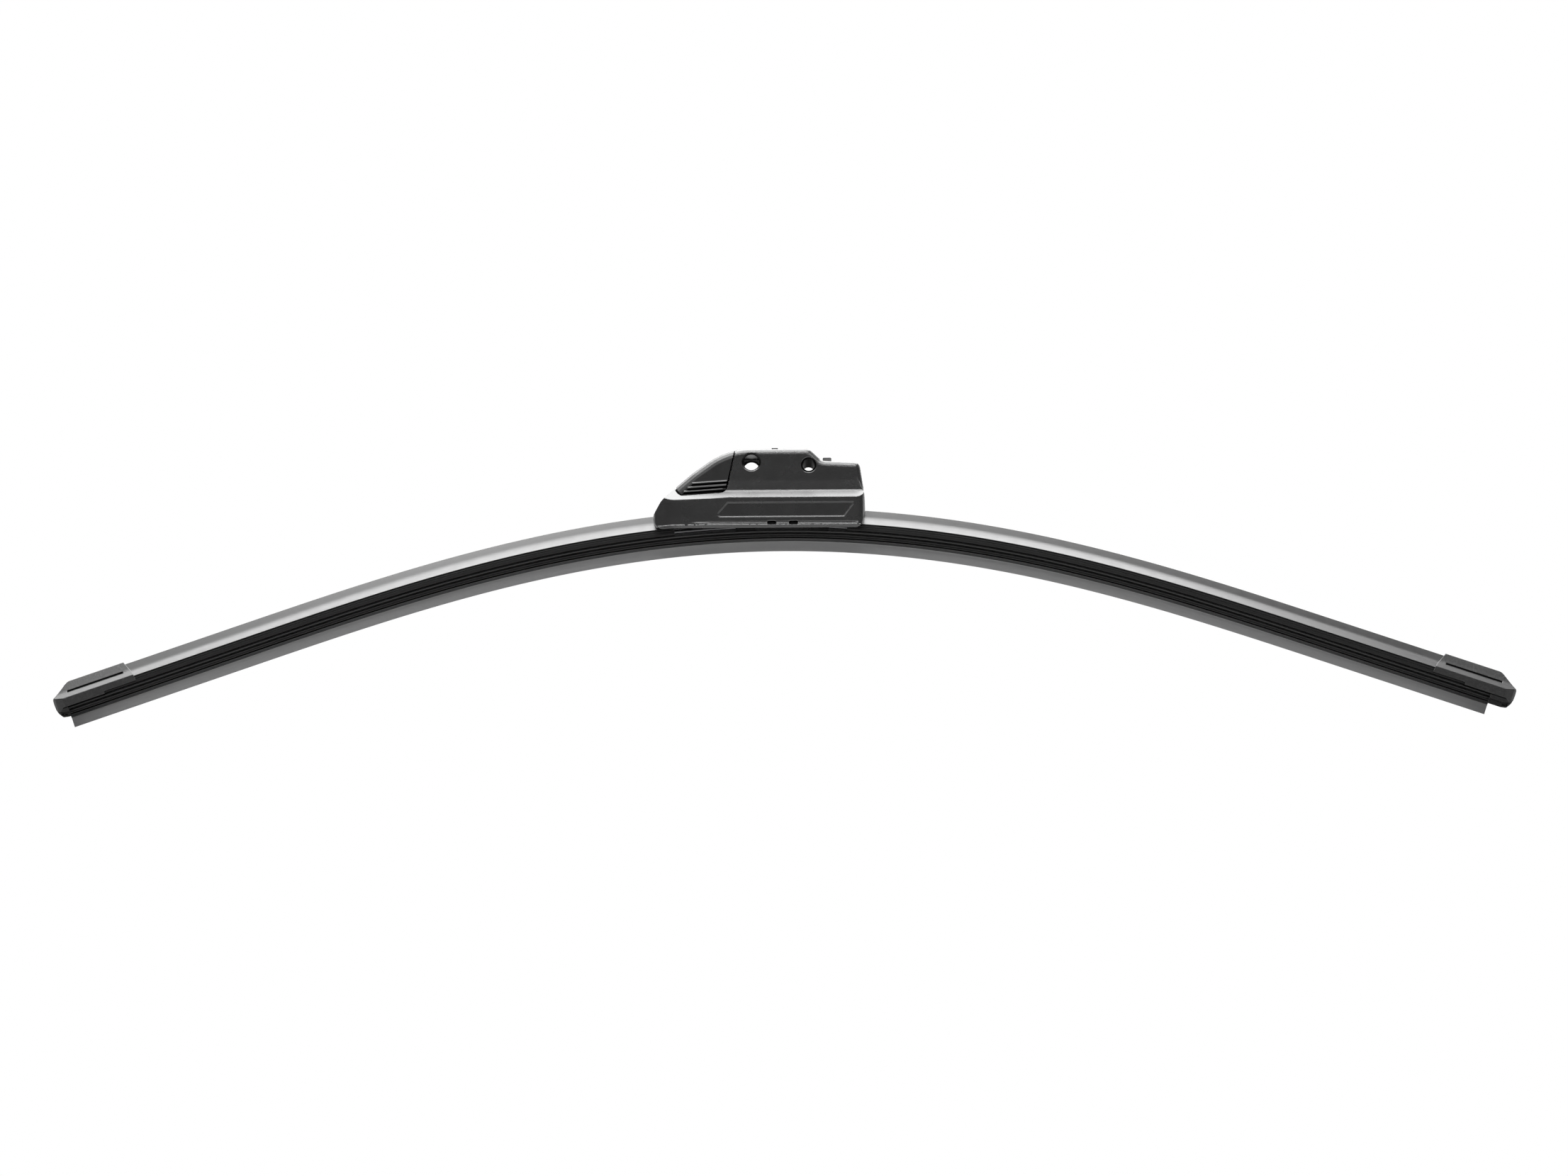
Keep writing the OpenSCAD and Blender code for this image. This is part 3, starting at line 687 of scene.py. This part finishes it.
class WIPER_OT_spoilers(bpy.types.Operator):
    """Left and right wind fins, with the grooves of their claws"""

    bl_idname = "wiper.spoilers"
    bl_label = "Spoilers"

    def execute(self, context):
        shape, paint = context.scene.wiper_blade, context.scene.wiper_colours
        beam = Beam(shape)
        satin = extruded_rubber("spoiler_rubber", paint.spoiler, rough=0.36)
        claws = extruded_rubber("claw_rubber", paint.spoiler, rough=0.45, index=1.35)
        free_from, free_to = FIN_FREE_STRETCH
        ends = {"spoiler_left": (beam.rubber_start + FIN_INSET, free_from),
                "spoiler_right": (free_to, beam.rubber_end - FIN_INSET)}
        for node, (from_s, to_s) in ends.items():
            piece = swept(node + "_fin", beam, fin_section(shape), from_s, to_s,
                          [satin, claws], lambda height: int(height < CLAW_TOP))
            settle(piece, "blade", node)
        return {"FINISHED"}


class WIPER_OT_end_caps(bpy.types.Operator):
    """End caps over the tips, with their bare marking slots"""

    bl_idname = "wiper.end_caps"
    bl_label = "End Caps"

    def execute(self, context):
        moulded, paint = context.scene.wiper_moulded, context.scene.wiper_colours
        plastic = end_cap_plastic(paint.end_cap)
        for node in ("end_cap_left", "end_cap_right"):
            piece = softened(node + "_shell", node, moulded.cap_grid, [plastic],
                             passes=3, keep=0.3)
            settle(piece, "blade", node)
        return {"FINISHED"}


class WIPER_OT_housing(bpy.types.Operator):
    """Housing of the connector, with its side pin hole, recess and snap windows"""

    bl_idname = "wiper.housing"
    bl_label = "Housing"

    def execute(self, context):
        moulded, paint = context.scene.wiper_moulded, context.scene.wiper_colours
        plastic = housing_plastic(paint.housing)
        piece = softened("housing_shell", "housing", moulded.housing_grid, [plastic],
                         passes=6, keep=0.2, reshape=ease_housing)
        settle(piece, "blade", "housing")
        return {"FINISHED"}


class WIPER_OT_nose_cap(bpy.types.Operator):
    """Hinged nose cap with its grip ribs"""

    bl_idname = "wiper.nose_cap"
    bl_label = "Nose Cap"

    def execute(self, context):
        moulded, paint = context.scene.wiper_moulded, context.scene.wiper_colours
        plastic = nose_cap_plastic(paint.nose)
        piece = softened("nose_cap_shell", "nose_cap", moulded.cap_grid, [plastic],
                         passes=3, keep=0.5)
        settle(piece, "cap", "nose_cap")
        return {"FINISHED"}


class WIPER_OT_arm_parts(bpy.types.Operator):
    """Bracket on the rails, rocking hook adapter and pivot tube"""

    bl_idname = "wiper.arm_parts"
    bl_label = "Bracket, Adapter and Tube"

    def execute(self, context):
        paint = context.scene.wiper_colours
        bracket = smooth_plastic("bracket_plastic", paint.bracket, rough=0.5, gloss=0.2)
        adapter = smooth_plastic("adapter_plastic", paint.adapter, rough=0.4)
        repaint("base_bracket", bracket.material)
        repaint("hook_adapter", adapter.material)
        repaint("pivot_tube", rolled_steel("tube_steel", paint.tube, rough=0.3))
        return {"FINISHED"}


def softbox(name, place, aim, width, depth, power, in_reflections=True):
    """A rectangular area light that faces a point."""
    light = bpy.data.lights.new(name, "AREA")
    light.shape = "RECTANGLE"
    light.size, light.size_y = width, depth
    light.energy = power
    lamp = bpy.data.objects.new(name, light)
    lamp.location = place
    lamp.rotation_euler = (Vector(aim) - Vector(place)).to_track_quat("-Z", "Y").to_euler()
    lamp.visible_camera = False
    lamp.visible_glossy = in_reflections
    bpy.context.scene.collection.objects.link(lamp)


class WIPER_OT_studio(bpy.types.Operator):
    """Pale floor, soft light and the camera"""

    bl_idname = "wiper.studio"
    bl_label = "Studio"

    def execute(self, context):
        studio, paint = context.scene.wiper_studio, context.scene.wiper_colours
        self.make_camera(context, studio)
        self.make_floor(paint)
        self.make_world(context)
        self.make_lights(studio)
        context.scene.view_settings.view_transform = "Standard"
        return {"FINISHED"}

    def make_camera(self, context, studio):
        width_in_view = 0.6302
        aim = Vector((-PIVOT_X * MM, 0, -0.0487))
        lens = bpy.data.cameras.new("camera")
        lens.sensor_width = 36
        lens.lens = lens.sensor_width * studio.camera_distance / width_in_view
        lens.clip_end = 20
        camera = bpy.data.objects.new("camera", lens)
        up = studio.camera_elevation
        back = Vector((0, -math.cos(up), math.sin(up)))
        turn = (-back).to_track_quat("-Z", "Y").to_matrix().to_4x4()
        camera.matrix_world = (Matrix.Translation(aim + back * studio.camera_distance)
                               @ turn @ Matrix.Rotation(-studio.camera_roll, 4, "Z"))
        context.scene.collection.objects.link(camera)
        context.scene.camera = camera

    def make_floor(self, paint):
        low = min(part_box(node)[0].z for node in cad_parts)
        reach = 1.6
        corners = [(x * reach, y * reach, low) for x, y in ((-1, -1), (1, -1), (1, 1), (-1, 1))]
        mesh = bpy.data.meshes.new("studio_floor")
        mesh.from_pydata(corners, [], [(0, 1, 2, 3)])
        floor = Finish("floor_paper", Roughness=0.9)
        tone = floor.blend(floor.noise(0.08), brighter(paint.floor, 0.99), paint.floor)
        floor.shade("Base Color", tone)
        # From below the floor is open, because the camera looks up from under it
        clear = floor.add("ShaderNodeBsdfTransparent")
        under = floor.add("ShaderNodeNewGeometry", output="Backfacing")
        shown = floor.add("ShaderNodeMixShader", None, {
            0: under, 1: Signal(floor, floor.shader.outputs[0]), 2: clear})
        floor.feed(floor.nodes["Material Output"].inputs["Surface"], shown)
        mesh.materials.append(floor.material)
        sheet = bpy.data.objects.new("studio_floor", mesh)
        bpy.context.scene.collection.objects.link(sheet)

    def make_world(self, context):
        """White behind the object, also in its reflections, and a faint light from all around."""
        backdrop, dip_overhead, all_around, faint = 0.85, 0.6, 0.12, 0.06
        world = bpy.data.worlds.new("studio")
        world.use_nodes = True
        context.scene.world = world
        sky = Wiring(world.node_tree)
        rays = sky.add("ShaderNodeLightPath").socket.node.outputs
        seen, mirrored_ray, passed = (Signal(sky, rays[name]) for name in (
            "Is Camera Ray", "Is Glossy Ray", "Is Transmission Ray"))
        toward = sky.add("ShaderNodeTexCoord", output="Generated")
        split = sky.add("ShaderNodeSeparateXYZ", None, {"Vector": toward}).socket.node
        behind = Signal(sky, split.outputs["Y"]).above(0.1, 0.6)
        overhead = Signal(sky, split.outputs["Z"]).above(0.6, 0.4)
        mirrored_strength = behind * (backdrop - overhead * dip_overhead) + all_around
        shown = sky.add("ShaderNodeBackground", None, {
            "Color": WHITE, "Strength": seen | mirrored_strength})
        light = sky.add("ShaderNodeBackground", None, {"Color": WHITE, "Strength": faint})
        mixed = sky.add("ShaderNodeMixShader", None, {
            0: seen | mirrored_ray | passed, 1: light, 2: shown})
        sky.feed(sky.nodes["World Output"].inputs["Surface"], mixed)

    def make_lights(self, studio):
        aim = (-0.01, 0, -0.03)
        softbox("front_softbox", (-0.1, -0.66, 0.86), aim, 1.2, 0.5, studio.front_light)
        softbox("top_softbox", (-0.06, 0.27, 1.02), aim, 1.35, 1.15, studio.top_light)
        softbox("back_softbox", (0, 1.2, 0.35), aim, 2.4, 0.3, studio.back_light)
        left_tip = (-0.25, 0, -0.09)
        softbox("fill_softbox", (-0.95, -0.7, 0.05), left_tip, 0.4, 0.4, studio.fill_light,
                in_reflections=False)
        for side in (-1, 1):
            softbox("side_softbox", (side * 1.3, 0.25, 0.85), aim, 0.6, 0.9, studio.side_light)


class WIPER_PT_panel(bpy.types.Panel):
    """Sizes, colours and steps of the wiper blade"""

    bl_label = "Wiper Blade"
    bl_idname = "WIPER_PT_panel"
    bl_space_type = "VIEW_3D"
    bl_region_type = "UI"
    bl_category = "Wiper"

    def draw(self, context):
        for group in GROUPS:
            box = self.layout.box()
            settings = getattr(context.scene, group)
            for key in GROUPS[group].__annotations__:
                box.prop(settings, key)
        for operator in OPERATORS:
            self.layout.operator(operator.bl_idname)


GROUPS = {
    "wiper_blade": BladeShape,
    "wiper_moulded": MouldedShape,
    "wiper_colours": FinishColours,
    "wiper_studio": StudioSetup,
}
OPERATORS = (
    WIPER_OT_studio,
    WIPER_OT_rubber,
    WIPER_OT_rails,
    WIPER_OT_spoilers,
    WIPER_OT_end_caps,
    WIPER_OT_housing,
    WIPER_OT_nose_cap,
    WIPER_OT_arm_parts,
)


def register():
    for part in (*GROUPS.values(), *OPERATORS, WIPER_PT_panel):
        bpy.utils.register_class(part)
    for name, group in GROUPS.items():
        setattr(bpy.types.Scene, name, PointerProperty(type=group))


def unregister():
    for name in GROUPS:
        delattr(bpy.types.Scene, name)
    for part in reversed((*GROUPS.values(), *OPERATORS, WIPER_PT_panel)):
        bpy.utils.unregister_class(part)


def main():
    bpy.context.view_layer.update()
    register()
    for operator in OPERATORS:
        module, name = operator.bl_idname.split(".")
        getattr(getattr(bpy.ops, module), name)()


if __name__ == "__main__":
    main()
